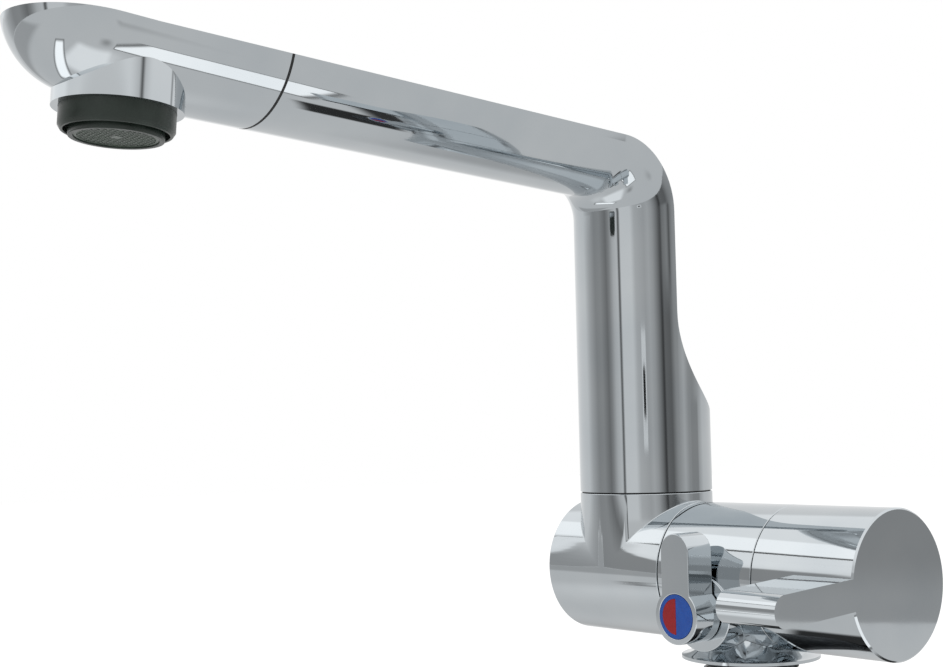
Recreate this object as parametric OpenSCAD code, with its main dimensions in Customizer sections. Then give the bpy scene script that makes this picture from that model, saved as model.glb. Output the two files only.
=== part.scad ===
// Folding kitchen mixer tap with a swivelling spout, a lift lever, a hot and cold selector and a built-in switch.
// Origin: centre of the flange underside, on the worktop. +X runs along the body towards the lever knob,
// -Y is the user's side and the way the spout points, +Z is up. All sizes in millimetres.

/* [Horizontal body] */
// Outside diameter of the horizontal body, of the column and of the spout's round side
tube_d = 42; // [38:1:46]
// Height of the horizontal body's underside above the worktop
body_lift = 3.5; // [2.5:0.5:9]
// Distance of the folding knee's seam from the centre
centre_half = 17.5; // [17:0.5:20]
// Distance of the lever knob's seam from the centre
knob_seam = 18.7; // [17:0.1:20]
// Left end of the folding knee, measured from the centre
left_reach = 65.2; // [64:0.1:75]
// Right end of the lever knob, measured from the centre
right_reach = 53.3; // [50:0.1:60]
// Width of the thin gap at each seam between moving bodies
seam = 0.4; // [0.3:0.1:0.8]
// Small bevel on the knob's end edge
edge_bevel = 0.5; // [0.2:0.1:1.5]

/* [Pedestal and fixing] */
// Radius of the flange that stands on the worktop
flange_r = 20.4; // [19:0.1:26]
// Thickness of the flange at its edge
flange_t = 0.9; // [0.6:0.1:2]
// Radius of the waist between flange and body
waist_r = 13; // [12:0.5:16]
// Outside radius of the fixing shank below the worktop
shank_r = 14; // [12.5:0.5:15.5]
// Length of the fixing shank below the worktop
shank_len = 42; // [30:1:60]
// Distance between the main ribs of the shank's thread, and their height
thread_pitch = 4.9; // [4:0.1:8]
thread_h = 0.8; // [0.3:0.1:1.2]
// Outside radius of the inlet tails
inlet_r = 4; // [3:0.25:4.25]
// Wall of the inlet tails
inlet_wall = 1.2; // [0.8:0.1:1.6]
// How far the inlet tails hang below the shank
inlet_drop = 16; // [5:1:40]

/* [Column and spout] */
// Distance of the swivel axis from the centre, to the left
column_x = 41.25; // [39.5:0.25:43]
// Height of the swivel seam above the crown of the body
foot_rise = 3; // [2.5:0.5:9]
// Distance of the spout's flat side from the axis of its round side
flat_offset = 5; // [3:0.5:8]
// Distance from the swivel seam up to the centre of the elbow
column_len = 87.3; // [75:0.1:120]
// Radius of the elbow on its flat outer side
elbow_r = 22; // [20:0.5:30]
// Rise of the spout above level, in degrees
spout_rise = 4; // [0:0.5:10]
// Distance of the start of the flat back's flare below the centre of the elbow
flare_drop = 31.2; // [22:0.1:34]
// Radius of the hollow flare at the back of the column
flare_r = 35; // [28:1:36]
// Radius of the waterway in the column and spout
waterway_r = 4.2; // [3:0.1:5]

/* [Spout head] */
// Distance along the spout from the elbow to the head's seam
head_start = 119.8; // [90:0.1:125]
// Width of the dark seam between spout and head
head_gap = 0.8; // [0.4:0.1:1.5]
// Length of the head, from its seam to the centre of the round nose
head_len = 47.5; // [44:0.1:75]
// Rise of the head's top towards the nose, in degrees
nose_rise = 1.2; // [0:0.1:4]
// Distance of the outlet axis behind the centre of the round nose
outlet_back = 9.7; // [6:0.1:14]
// How far the outlet collar stays inside the spout's round side
outlet_inset = 4.6; // [4:0.1:5.5]
// Height of the outlet collar's rim above the elbow's centre line
outlet_rim = 3.6; // [1:0.1:5]
// Depth of the outlet's bore
outlet_depth = 8.4; // [7:0.1:10]
// Wall of the outlet collar
outlet_wall = 1.9; // [1.4:0.1:2.4]
// How far the aerator housing stands below the collar
aerator_drop = 5.8; // [4:0.1:12]
// Bevel round the foot of the aerator housing
aerator_bevel = 1.2; // [0.4:0.1:1.4]
// How far the mesh's ring stands below the housing
ring_drop = 1.4; // [0.2:0.1:2.5]
// Distance of the aerator's mesh from the outside of its housing
mesh_inset = 4; // [3.8:0.1:6]
// Wall of the ring that carries the mesh
mesh_wall = 1.4; // [0.8:0.1:1.6]

/* [Lever] */
// Distance from the body axis to the tip of the lever paddle
paddle_len = 53; // [45:0.5:70]
// Thickness of the paddle
paddle_t = 8.7; // [6:0.1:12]
// Width of the paddle along the body
paddle_w = 19.5; // [16:0.5:28]
// Angle of the paddle below level at rest, in degrees
paddle_droop = 3.45; // [0:0.05:15]
// Radius of the lever's stem
stem_r = 4; // [3:0.1:5]

/* [Selector] */
// Distance of the selector's axis below the body's axis
selector_drop = 9.9; // [9:0.1:10.4]
// Radius of the round foot of the selector lever
selector_r = 8; // [7.6:0.1:10]
// Width of the selector's bar
selector_bar_w = 10.6; // [8:0.1:12]
// Distance from the selector's axis to the top of its bar
selector_bar_len = 23.6; // [18:0.1:28]
// Thickness of the selector lever, front to back
selector_t = 10; // [7:0.5:12]
// How far the collar behind the selector stands in front of the body
collar_stand = 0.6; // [0.5:0.1:3]
// Radius of the coloured disc
disc_r = 6.3; // [5.5:0.1:7]
// Thickness of the coloured disc
disc_t = 0.6; // [0.5:0.1:1]
// Radius of the red half of the disc
red_r = 5.1; // [4:0.1:5.4]
// Radius of the mixing cartridge
mixer_r = 5; // [4:0.1:5.4]

/* [Hidden] */
// Facets on a full circle for the larger turned shapes
facets = 96;
// Radius of the body
tube_r = tube_d / 2;
// Heights of the body's axis, of the selector's axis, of the swivel seam, of the elbow and of the flare
axis_z = tube_r + body_lift;
selector_z = axis_z - selector_drop;
swivel_z = axis_z + tube_r + foot_rise;
elbow_z = swivel_z + column_len;
flare_z = elbow_z - flare_drop;
// Front and radius of the selector's collar, whose foot is level with the body's underside
collar_front = tube_r + collar_stand;
collar_r = tube_r - selector_drop - 0.1;
// Places of the round nose and of the outlet along the spout
nose_at = head_start + head_len;
outlet_at = nose_at - outlet_back;
// Radii of the outlet collar, of the aerator housing and of its mesh
outlet_r = tube_r - outlet_inset;
aerator_r = outlet_r - outlet_wall;
mesh_r = aerator_r - mesh_inset;
// Half of a seam
hs = seam / 2;
// Gap left between pieces of one body
fit = 0.05;
// Radial gap of the turning fits
run_fit = 0.05;
// Thickness of the slide washers in the seams
washer_t = seam - 0.1;
// How far the slide washers stay below the chrome
washer_in = 0.6;
// Radius of the hollow axle that the knee turns on, and of its flange and bore
axle_r = 11;
axle_flange_r = 12.5;
axle_bore_r = 7;
// Where the axle and the cartridge end inside the centre body
inner_half = 12;
// End of the axle's bearing, of its nut and of the knee's cap
cap_t = 2.5;
nut_t = 3.2;
nut_end = left_reach - cap_t - 1.5;
axle_end = nut_end - nut_t;
// Radius of the flow cartridge, and where its steps end
cartridge_r = 14;
cartridge_neck_r = 9;
knob_floor = 12.3;
cartridge_end = right_reach - knob_floor;
neck_len = 5;
// End of the lever's stem, and how deep it sits in the cartridge
stem_stop = 4.4;
stem_end = right_reach - stem_stop;
stem_depth = 11;
// Radius and top of the shank's spigot inside the body
spigot_r = 10;
spigot_top = selector_z - mixer_r - 0.8;
// Radius of the brass swivel sleeve in the column, of its foot and of its bore
sleeve_r = 10.5;
sleeve_foot_r = 12;
sleeve_bore_r = 7;
// Bottom and top of the swivel sleeve
sleeve_foot_len = 10.5;
sleeve_len = 17.5;
sleeve_foot = swivel_z - sleeve_foot_len;
sleeve_top = swivel_z + sleeve_len;
// Height of the spout's small screw and of the sleeve's seal above the seam
grub_up = 9.5;
grub_z = swivel_z + grub_up;
grub_r = 1.6;
seal_up = 13.5;
seal_z = swivel_z + seal_up;
seal_t = 2;
// Depth of the seals' grooves and of the screw's groove
groove_d = 1.6;
screw_groove_d = 0.8;
// Distance from the elbow's centre to the centre of the spout's round section
ridge = elbow_r + flat_offset;
// Lateral position of the elbow's centre
elbow_y = -ridge;
// Distance of the waterway from the elbow's centre
way_at = elbow_r - (tube_r - flat_offset) / 2;
// Radius and half length of the plug that joins spout and head
plug_r = 6;
plug_half = 6;
// Left end of the paddle
paddle_x = right_reach - paddle_w;
// Height of the hollow flare of the pedestal
flare_h = flange_r - waist_r;
// Radii and depth of the groove under the flange
gasket_in = 14.4;
gasket_out = 17.5;
gasket_t = 0.6;
// Size of the switch and its distance from the body axis
switch_w = 16;
switch_d = 14;
switch_h = 10;
switch_y = -4;
switch_up = 2.5;
plunger_r = 1.2;
// Back and front faces of the selector lever
selector_back = -collar_front - seam;
selector_face = selector_back - selector_t;
selector_stem_r = 2;
screw_r = 1.25;
// Inner ends of the mixing cartridge, of the selector's stem and of its screw
mixer_len = 15.6;
stem_len = 9.6;
screw_in = 3.6;
mixer_end = -collar_front + mixer_len;
selector_stem_end = -collar_front + stem_len;
screw_end = -collar_front + screw_in;
// How far the selector's stem reaches into the lever, and the thickness and radius of its screw's head
stem_grip = 4;
screw_head_t = 2.1;
screw_head_r = 3.2;

// Names of every sub-part
// Node that is drawn, or all of them

// Cylinder along X at the height of the body axis, from x0 to x1
module bar_x(x0, x1, r) {
    translate([x0, 0, axis_z]) rotate([0, 90, 0]) cylinder(h = x1 - x0, r = r, $fn = facets);
}

// Cylinder along Y through the selector axis, from y0 to y1
module bar_y(y0, y1, r) {
    translate([0, y1, selector_z]) rotate([90, 0, 0]) cylinder(h = y1 - y0, r = r, $fn = facets);
}

// Upright cylinder at x, from z0 to z1
module post(x, z0, z1, r) {
    translate([x, 0, z0]) cylinder(h = z1 - z0, r = r, $fn = facets);
}

// Ring along X
module ring_x(x0, x1, ro, ri) {
    difference() {
        bar_x(x0, x1, ro);
        bar_x(x0 - 1, x1 + 1, ri);
    }
}

// Upright ring
module ring_z(x, z0, z1, ro, ri) {
    difference() {
        post(x, z0, z1, ro);
        post(x, z0 - 1, z1 + 1, ri);
    }
}

// The spout's own frame: Z runs along the spout from the elbow, Y is the way up through its section
module along_spout(at) {
    translate([-column_x, elbow_y, elbow_z]) rotate([90 - spout_rise, 0, 0]) translate([0, 0, at]) children();
}

// The spout's section, a circle cut off by a flat, with the elbow's centre at the origin; inset shrinks it
module spout_section(inset = 0) {
    intersection() {
        translate([0, ridge]) circle(r = tube_r - inset, $fn = facets);
        translate([-tube_r - 1, -tube_r]) square([tube_d + 2, elbow_r + tube_r - inset]);
    }
}

// Straight run of the spout from a to b, measured from the elbow
module spout_run(a, b) {
    along_spout(a) linear_extrude(height = b - a) spout_section();
}

// Head without its outlet: round side and nose, cut by a flat that rises a little over the outlet
module head_blank() {
    intersection() {
        along_spout(0) translate([0, ridge, 0]) union() {
            translate([0, 0, head_start + head_gap / 2]) cylinder(h = head_len - head_gap / 2, r = tube_r, $fn = facets);
            translate([0, 0, nose_at]) sphere(r = tube_r, $fn = facets);
        }
        along_spout(0) rotate([0, -90, 0]) linear_extrude(height = 2 * tube_d, center = true) polygon([
            [head_start + head_gap / 2, elbow_r - tube_d], [head_start + head_gap / 2, elbow_r],
            [outlet_at, elbow_r], [nose_at + tube_d, elbow_r + (tube_d + outlet_back) * tan(nose_rise)],
            [nose_at + tube_d, elbow_r - tube_d]]);
    }
}

// Round bore along the middle of the spout, from a to b
module spout_bore(a, b, r) {
    along_spout(a) translate([0, way_at, 0]) cylinder(h = b - a, r = r, $fn = 48);
}

// What bends round the elbow, from a section drawn with the elbow's centre at the origin
module bend() {
    translate([-column_x, elbow_y, elbow_z]) rotate([90, 0, 90])
        rotate_extrude(angle = 90 - spout_rise, $fn = facets) children();
}

// Cylinder or cone square to the spout, at the outlet, from n0 to n1 above the elbow's centre line
module outlet_post(n0, n1, r0, r1) {
    along_spout(outlet_at) translate([0, n0, 0]) rotate([-90, 0, 0])
        cylinder(h = n1 - n0, r1 = r0, r2 = r1, $fn = facets);
}

// Ring square to the spout, at the outlet
module outlet_ring(n0, n1, ro, ri) {
    difference() {
        outlet_post(n0, n1, ro, ro);
        outlet_post(n0 - 1, n1 + 1, ri, ri);
    }
}

// Fixed centre body with the selector's collar and the seats of its inner pieces
module body_shell() {
    color("silver") difference() {
        union() {
            bar_x(-centre_half + hs, knob_seam - hs, tube_r);
            bar_y(-collar_front, -4, collar_r);
        }
        bar_x(-centre_half, -inner_half, axle_flange_r + fit);
        bar_x(inner_half, knob_seam, cartridge_r + fit);
        post(0, -1, spigot_top + 0.1, spigot_r + fit);
        bar_y(-collar_front - 1, mixer_end, mixer_r + fit);
        translate([-switch_w / 2 - fit, switch_y - fit, axis_z + switch_up - fit])
            cube([switch_w + 2 * fit, switch_d + 2 * fit, switch_h + 2 * fit]);
        translate([switch_w / 2 - 0.5, switch_y + switch_d / 2, axis_z + switch_up + switch_h / 2]) rotate([0, 90, 0])
            cylinder(h = inner_half - switch_w / 2 + 1, r = plunger_r + fit, $fn = 32);
    }
}

// Pedestal: thin flange with a hollow flare up to a waist that fits the body's round underside
module pedestal() {
    color("silver") difference() {
        rotate_extrude($fn = facets) difference() {
            square([flange_r, axis_z / 2]);
            translate([flange_r, flange_t + flare_h]) circle(r = flare_h, $fn = facets);
            translate([waist_r, flange_t + flare_h]) square([flange_r, axis_z]);
        }
        bar_x(-4 * centre_half, 4 * centre_half, tube_r + fit);
        bar_y(-4 * tube_r, 0, collar_r + fit);
        post(0, -1, axis_z, spigot_r + fit);
        ring_z(0, -1, gasket_t + fit, gasket_out + fit, gasket_in - fit);
    }
}

// Rubber ring let into the pedestal's underside
module base_gasket() {
    color("dimgray") ring_z(0, 0, gasket_t, gasket_out, gasket_in);
}

// Hollow fixing shank with two inlet bores and a cable hole
module fixing_shank() {
    color("gold") difference() {
        union() {
            post(0, -shank_len, 0, shank_r);
            post(0, -1, spigot_top, spigot_r);
        }
        for (z = [-thread_pitch : -thread_pitch : thread_pitch - shank_len])
            ring_z(0, z, z + thread_pitch / 2, shank_r + 1, shank_r - thread_h);
        for (x = [-5, 5]) post(x, -shank_len - 1, axis_z, inlet_r + fit);
        translate([0, 7.6, 0]) post(0, -shank_len - 1, axis_z, 1.8);
    }
}

// Inlet tail with a through bore
module inlet(x) {
    ring_z(x, -shank_len - inlet_drop, spigot_top - 0.5, inlet_r, inlet_r - inlet_wall);
}

// Hot inlet tail
module inlet_hot() { color("indianred") inlet(-5); }

// Cold inlet tail
module inlet_cold() { color("steelblue") inlet(5); }

// Hollow brass axle that the knee folds about, with a flange, two seal grooves and a side hole to the column
module fold_axle() {
    color("gold") difference() {
        union() {
            bar_x(-axle_end, -centre_half, axle_r);
            bar_x(-nut_end, -axle_end, axle_r - 2);
            bar_x(-centre_half - hs / 2, -inner_half - fit, axle_flange_r);
        }
        bar_x(-nut_end - 1, -inner_half - 3, axle_bore_r);
        for (x = [-axle_end + 5, -centre_half - 8]) ring_x(x - fit, x + seal_t + fit, axle_r + 1, axle_r - groove_d);
        post(-column_x, axis_z, axis_z + axle_r + 1, 5);
    }
}

// Nut that holds the knee on its axle
module axle_nut() {
    color("gold") ring_x(-nut_end, -axle_end - fit, axle_r + 2.4, axle_r - 2 + fit);
}

// Left seal of the folding axle
module fold_seal_left() {
    color("dimgray") ring_x(-axle_end + 5, -axle_end + 5 + seal_t, axle_r, axle_r - groove_d + fit);
}

// Right seal of the folding axle
module fold_seal_right() {
    color("dimgray") ring_x(-centre_half - 8, -centre_half - 8 + seal_t, axle_r, axle_r - groove_d + fit);
}

// Plastic slide washer in the left seam
module fold_washer() {
    color("black") ring_x(-centre_half - washer_t / 2, -centre_half + washer_t / 2, tube_r - washer_in,
        axle_flange_r + fit);
}

// Mixing cartridge behind the selector
module mix_cartridge() {
    color("white") difference() {
        bar_y(-collar_front + 1, mixer_end - fit, mixer_r);
        bar_y(-collar_front, selector_stem_end, selector_stem_r + run_fit);
    }
}

// Flow cartridge inside the lever knob
module flow_cartridge() {
    color("white") difference() {
        union() {
            bar_x(inner_half + fit, cartridge_end - neck_len, cartridge_r);
            bar_x(cartridge_end - neck_len - 1, cartridge_end, cartridge_neck_r);
        }
        bar_x(cartridge_end - stem_depth, cartridge_end + 1, stem_r + run_fit);
    }
}

// Plastic slide washer in the right seam
module lever_washer() {
    color("black") ring_x(knob_seam - washer_t / 2, knob_seam + washer_t / 2, tube_r - washer_in,
        cartridge_r + fit);
}

// Switch that starts the pump
module microswitch() {
    color("black") translate([-switch_w / 2, switch_y, axis_z + switch_up]) cube([switch_w, switch_d, switch_h]);
}

// Plunger between the switch and the flow cartridge
module switch_plunger() {
    color("red") translate([switch_w / 2 + 0.02, switch_y + switch_d / 2, axis_z + switch_up + switch_h / 2])
        rotate([0, 90, 0]) cylinder(h = inner_half - switch_w / 2, r = plunger_r, $fn = 32);
}

// Folding knee: a horizontal cylinder and a column foot of the same diameter
module knee_body() {
    color("silver") difference() {
        union() {
            bar_x(-left_reach, -centre_half - hs, tube_r);
            post(-column_x, axis_z, swivel_z - hs, tube_r);
        }
        bar_x(-left_reach - 1, -inner_half, axle_r + run_fit);
        bar_x(-left_reach - 1, -axle_end + 0.02, axle_r + 3);
        bar_x(-left_reach - 1, -left_reach + cap_t + fit, tube_r - 3 + fit);
        post(-column_x, axis_z, swivel_z + 1, axle_bore_r + 1);
        post(-column_x, sleeve_foot - fit, swivel_z + 1, sleeve_foot_r + fit);
    }
}

// Cap let into the knee's left end
module knee_cap() {
    color("silver") bar_x(-left_reach, -left_reach + cap_t, tube_r - 3);
}

// Brass sleeve that the spout swivels on, with grooves for the screw and the seal
module swivel_sleeve() {
    color("gold") difference() {
        union() {
            post(-column_x, sleeve_foot, swivel_z - hs, sleeve_foot_r);
            post(-column_x, sleeve_foot + 1, sleeve_top, sleeve_r);
        }
        post(-column_x, sleeve_foot - 1, sleeve_top + 1, sleeve_bore_r);
        ring_z(-column_x, grub_z - grub_r - 0.2, grub_z + grub_r + 0.2, sleeve_r + 1, sleeve_r - screw_groove_d);
        ring_z(-column_x, seal_z - fit, seal_z + seal_t + fit, sleeve_r + 1, sleeve_r - groove_d);
    }
}

// Rubber ring of the swivel sleeve
module swivel_seal() {
    color("dimgray") ring_z(-column_x, seal_z, seal_z + seal_t, sleeve_r, sleeve_r - groove_d + fit);
}

// Plastic slide washer in the swivel seam
module swivel_washer() {
    color("black") ring_z(-column_x, swivel_z - washer_t / 2, swivel_z + washer_t / 2, tube_r - washer_in,
        sleeve_r + fit);
}

// Column, elbow and the long part of the spout, with its waterway
module spout_arm() {
    color("silver") difference() {
        union() {
            difference() {
                post(-column_x, swivel_z + hs, elbow_z, tube_r);
                translate([-column_x - tube_d, -flat_offset, flare_z]) cube([2 * tube_d, tube_d, elbow_z]);
                translate([-column_x - tube_d, -flat_offset + flare_r, flare_z]) rotate([0, 90, 0])
                    cylinder(h = 2 * tube_d, r = flare_r, $fn = 160);
            }
            bend() rotate(-90) spout_section();
            spout_run(0, head_start - head_gap / 2);
        }
        post(-column_x, swivel_z, sleeve_top + 1, sleeve_r + run_fit);
        translate([0, elbow_y + way_at, 0]) post(-column_x, sleeve_top, elbow_z + 0.1, waterway_r);
        bend() translate([way_at, 0]) circle(r = waterway_r, $fn = 32);
        spout_bore(-0.1, head_start + 1, waterway_r);
        spout_bore(head_start - plug_half, head_start + 1, plug_r + fit);
        translate([-column_x, 0, grub_z]) rotate([-90, 0, 0]) cylinder(h = tube_r + 5, r = grub_r + fit, $fn = 32);
    }
}

// Small screw at the back of the column that keeps the spout on its sleeve
module spout_grub() {
    color("dimgray") translate([-column_x, sleeve_r - 0.6, grub_z]) rotate([-90, 0, 0])
        cylinder(h = tube_r - sleeve_r - 0.4, r = grub_r, $fn = 32);
}

// Dark joint ring and plug between spout and head
module head_joint() {
    color("black") difference() {
        union() {
            along_spout(head_start - head_gap / 2) linear_extrude(height = head_gap) spout_section(0.5);
            spout_bore(head_start - plug_half + fit, head_start + plug_half - fit, plug_r);
        }
        spout_bore(head_start - plug_half - 1, head_start + plug_half + 1, waterway_r);
    }
}

// Spout head with its round nose and outlet collar
module spout_head() {
    color("silver") difference() {
        union() {
            head_blank();
            outlet_post(outlet_rim, elbow_r - 1, outlet_r, outlet_r);
        }
        outlet_post(outlet_rim - 1, outlet_rim + outlet_depth, aerator_r + fit, aerator_r + fit);
        spout_bore(head_start, head_start + plug_half, plug_r + fit);
        spout_bore(head_start, outlet_at, waterway_r);
        outlet_post(outlet_rim, way_at, plug_r, plug_r);
    }
}

// Rubber washer above the aerator
module aerator_washer() {
    color("dimgray") outlet_ring(outlet_rim + outlet_depth - 1.5, outlet_rim + outlet_depth - fit, aerator_r - 0.5, 8);
}

// Dark plastic housing of the aerator, bevelled at its foot
module aerator_housing() {
    color("darkslategray") difference() {
        union() {
            outlet_post(outlet_rim - aerator_drop + aerator_bevel, outlet_rim + outlet_depth - 1.55, aerator_r, aerator_r);
            outlet_post(outlet_rim - aerator_drop, outlet_rim - aerator_drop + aerator_bevel,
                aerator_r - 0.6 * aerator_bevel, aerator_r);
        }
        outlet_post(outlet_rim - aerator_drop - 1, outlet_rim + outlet_depth,
            mesh_r + mesh_wall + fit, mesh_r + mesh_wall + fit);
        outlet_post(outlet_rim - aerator_drop - 1, outlet_rim - aerator_drop + 2.5, aerator_r - 1.4, aerator_r - 1.4);
    }
}

// Inner ring that carries the mesh
module aerator_ring() {
    color("darkolivegreen") outlet_ring(outlet_rim - aerator_drop - ring_drop, outlet_rim + outlet_depth - 1.6,
        mesh_r + mesh_wall, mesh_r + fit);
}

// Mesh disc of the aerator
module aerator_mesh() {
    color("darkolivegreen") outlet_post(outlet_rim - aerator_drop - ring_drop + 0.4,
        outlet_rim - aerator_drop - ring_drop + 1.4, mesh_r, mesh_r);
}

// Lever knob with its flat paddle
module lever_knob() {
    color("silver") difference() {
        union() {
            bar_x(knob_seam + hs, right_reach - edge_bevel, tube_r);
            translate([right_reach - edge_bevel, 0, axis_z]) rotate([0, 90, 0])
                cylinder(h = edge_bevel, r1 = tube_r, r2 = tube_r - edge_bevel, $fn = facets);
            translate([paddle_x, 0, axis_z]) rotate([paddle_droop, 0, 0]) {
                translate([0, -paddle_len + paddle_t / 2, -paddle_t / 2])
                    cube([paddle_w, paddle_len - paddle_t / 2 - tube_r + 5, paddle_t]);
                translate([0, -paddle_len + paddle_t / 2, 0]) rotate([0, 90, 0])
                    cylinder(h = paddle_w, r = paddle_t / 2, $fn = 64);
            }
        }
        bar_x(knob_seam, cartridge_end + 0.5, cartridge_r + 0.3);
        bar_x(cartridge_end, stem_end + 0.1, stem_r + fit);
        post(stem_end - 3, -1, axis_z, selector_stem_r + fit);
    }
}

// Stem between the knob and the flow cartridge
module lever_stem() {
    color("gold") bar_x(cartridge_end - stem_depth + 0.1, stem_end, stem_r);
}

// Screw under the knob that grips the stem
module lever_grub() {
    color("dimgray") post(stem_end - 3, axis_z - tube_r + 1, axis_z - stem_r - fit, selector_stem_r);
}

// Keyhole-shaped selector lever
module selector_lever() {
    color("silver") difference() {
        translate([0, selector_back, selector_z]) rotate([90, 0, 0]) linear_extrude(height = selector_t) union() {
            circle(r = selector_r, $fn = facets);
            translate([-selector_bar_w / 2, 0]) square([selector_bar_w, selector_bar_len - selector_bar_w / 2]);
            translate([0, selector_bar_len - selector_bar_w / 2]) circle(r = selector_bar_w / 2, $fn = 64);
        }
        bar_y(selector_face - 1, selector_face + disc_t, disc_r + fit);
        bar_y(selector_face - 1, selector_face + disc_t + screw_head_t, screw_head_r + fit);
        bar_y(selector_face - 1, selector_back + 1, selector_stem_r + fit);
    }
}

// Stem between the selector and the mixing cartridge
module selector_stem() {
    color("gold") difference() {
        bar_y(selector_back - stem_grip, selector_stem_end - fit, selector_stem_r);
        bar_y(selector_back - stem_grip - 1, screw_end, screw_r + fit);
    }
}

// Screw under the coloured disc
module selector_screw() {
    color("dimgray") union() {
        bar_y(selector_face + disc_t + fit, selector_face + disc_t + screw_head_t - fit, screw_head_r);
        bar_y(selector_face + disc_t + 1, screw_end - fit, screw_r);
    }
}

// Blue disc with the seat of its red half
module selector_disc() {
    color("royalblue") difference() {
        bar_y(selector_face, selector_face + disc_t - fit, disc_r);
        intersection() {
            bar_y(selector_face - 1, selector_face + 0.3, red_r + 0.02);
            translate([-tube_d, selector_face - 2, 0]) cube([tube_d, 4, 2 * tube_d]);
        }
    }
}

// Red half of the disc
module selector_red() {
    color("firebrick") intersection() {
        bar_y(selector_face, selector_face + 0.28, red_r);
        translate([-tube_d, selector_face - 2, 0]) cube([tube_d - 0.02, 4, 2 * tube_d]);
    }
}

body_shell();
pedestal();
base_gasket();
fixing_shank();
inlet_hot();
inlet_cold();
fold_axle();
axle_nut();
fold_seal_left();
fold_seal_right();
fold_washer();
mix_cartridge();
flow_cartridge();
lever_washer();
microswitch();
switch_plunger();
knee_body();
knee_cap();
swivel_sleeve();
swivel_seal();
swivel_washer();
spout_arm();
spout_grub();
head_joint();
spout_head();
aerator_washer();
aerator_housing();
aerator_ring();
aerator_mesh();
lever_knob();
lever_stem();
lever_grub();
selector_lever();
selector_stem();
selector_screw();
selector_disc();
selector_red();
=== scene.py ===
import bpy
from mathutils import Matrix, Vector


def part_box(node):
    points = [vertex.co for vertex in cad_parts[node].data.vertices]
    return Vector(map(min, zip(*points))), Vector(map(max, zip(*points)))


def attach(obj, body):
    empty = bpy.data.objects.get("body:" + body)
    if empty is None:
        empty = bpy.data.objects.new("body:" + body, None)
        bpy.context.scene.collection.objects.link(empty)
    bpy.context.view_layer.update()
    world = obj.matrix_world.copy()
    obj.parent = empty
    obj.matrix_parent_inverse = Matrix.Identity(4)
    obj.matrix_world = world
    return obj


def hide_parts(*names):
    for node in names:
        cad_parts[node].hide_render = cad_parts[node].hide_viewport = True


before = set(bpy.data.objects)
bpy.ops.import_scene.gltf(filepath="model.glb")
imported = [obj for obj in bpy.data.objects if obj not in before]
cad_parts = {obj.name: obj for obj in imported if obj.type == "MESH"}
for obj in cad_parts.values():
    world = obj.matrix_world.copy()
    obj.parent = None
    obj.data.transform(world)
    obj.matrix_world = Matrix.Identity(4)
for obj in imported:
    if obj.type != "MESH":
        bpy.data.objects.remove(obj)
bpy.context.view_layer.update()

# Studio scene of a folding chrome mixer tap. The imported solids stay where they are; the chromed
# ones are shown by merged copies with polished edges. The thread, the socket screws, the gasket in
# the spout's seam and the outlet mesh are modelled here.

import logging
import math
from dataclasses import dataclass, field
from enum import Enum
from typing import ClassVar, Optional, Sequence, Union

import bmesh
import bpy
from mathutils import Matrix, Vector

MM = 0.001
MERGE = 2e-6  # points nearer than this are one point
FLAT_DEG = 0.15  # faces that meet at less than this are one flat face
CREASE_DEG = 35.0  # edges sharper than this stay sharp when shaded, and are the ones polished
EDGE_SEGMENTS = 3  # faces across a polished edge
RISE_DEG = 4.0  # the spout arm rises by this from the elbow to the head
PHOTO_WIDTH = 943  # pixels
FLOOR_Z = -0.215  # just under the head when the tap is folded down
MAT_Z = -0.0585  # just under the inlet tails, where the mats lie that only polished metal sees
CEILING_Z = 1.3  # where the silk over the tap lies
LAYER = 0.0001  # a mat lies a whole number of these over its ground, the higher over the lower
TAP_CENTRE = Vector((-0.02, -0.06, 0.08))
WHITE = (1.0, 1.0, 1.0, 1.0)
log = logging.getLogger("mixer_tap")

Feed = Union[float, Sequence[float], bpy.types.NodeSocket]


class Axis(Enum):
    """The direction that a turned pattern runs along."""

    X = (1.0, 0.0, 0.0)
    Y = (0.0, 1.0, 0.0)
    Z = (0.0, 0.0, 1.0)


def linear(hex_colour: str) -> tuple[float, float, float, float]:
    """Turn an sRGB hex colour into the linear colour that shaders work in, by the sRGB curve.

    Args:
        hex_colour: Six hex digits after a hash sign.

    Returns:
        Red, green, blue and an alpha of 1.
    """
    parts = [int(hex_colour[i : i + 2], 16) / 255 for i in (1, 3, 5)]
    red, green, blue = (c / 12.92 if c <= 0.04045 else ((c + 0.055) / 1.055) ** 2.4 for c in parts)
    return red, green, blue, 1.0


def bearing(azimuth: float, elevation: float) -> Vector:
    """Give the unit vector of a direction, from its two angles in radians."""
    level = math.cos(elevation)
    return Vector((level * math.cos(azimuth), level * math.sin(azimuth), math.sin(elevation)))


# --------------------------------------------------------------------------------- nodes and meshes


def add_node(
    tree: bpy.types.NodeTree,
    kind: str,
    feeds: Optional[dict[Union[str, int], Feed]] = None,
    **settings: object,
) -> bpy.types.Node:
    """Add a node with its settings, and fill or link its inputs.

    Args:
        tree: The node tree of a material or of the world.
        kind: The node's type, such as ShaderNodeTexNoise.
        feeds: Each input's name or number, with its value or the output that is linked to it.
        settings: Properties of the node itself.

    Returns:
        The new node.
    """
    node = tree.nodes.new(kind)
    for name, value in settings.items():
        setattr(node, name, value)
    for name, value in (feeds or {}).items():
        if isinstance(value, bpy.types.NodeSocket):
            tree.links.new(value, node.inputs[name])
        else:
            node.inputs[name].default_value = value
    return node


def maths(tree: bpy.types.NodeTree, operation: str, *values: Feed) -> bpy.types.NodeSocket:
    """Add a math node.

    Args:
        tree: The tree that it goes in.
        operation: What it does, such as MULTIPLY.
        values: What it works on.

    Returns:
        Its result.
    """
    node = add_node(tree, "ShaderNodeMath", dict(enumerate(values)), operation=operation)
    return node.outputs[0]


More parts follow.
